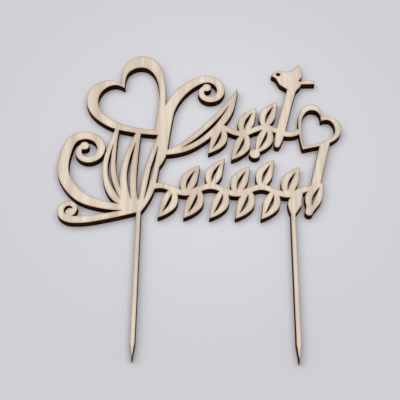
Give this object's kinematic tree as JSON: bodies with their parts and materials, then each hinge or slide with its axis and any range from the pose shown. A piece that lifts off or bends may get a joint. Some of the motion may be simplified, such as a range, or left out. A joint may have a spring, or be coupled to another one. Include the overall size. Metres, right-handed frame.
{
  "type": "wedding cake topper",
  "caption": "Laser-cut plywood wedding cake topper: two hearts, a bird and leafy scrollwork over two pointed stakes.",
  "frame": {"origin": "middle of the outline's bounding box, on the back face that it lies on", "axes": "lying on its back: +X to the topper's right, +Y toward its top with the stakes toward -Y, +Z out of its front face"},
  "size_m": [0.1112, 0.1314, 0.003],
  "materials": {
    "face_veneer": "sanded bare basswood, laser-charred cut edge",
    "core_veneer": "bare basswood core, laser-charred cut edge",
    "glue": "cured resin bond, charred at the cut edge"
  },
  "bodies": {
    "root": {"back_veneer": "face_veneer", "back_glue_line": "glue", "core_veneer": "core_veneer", "front_glue_line": "glue", "front_veneer": "face_veneer"}
  },
  "joints": []
}
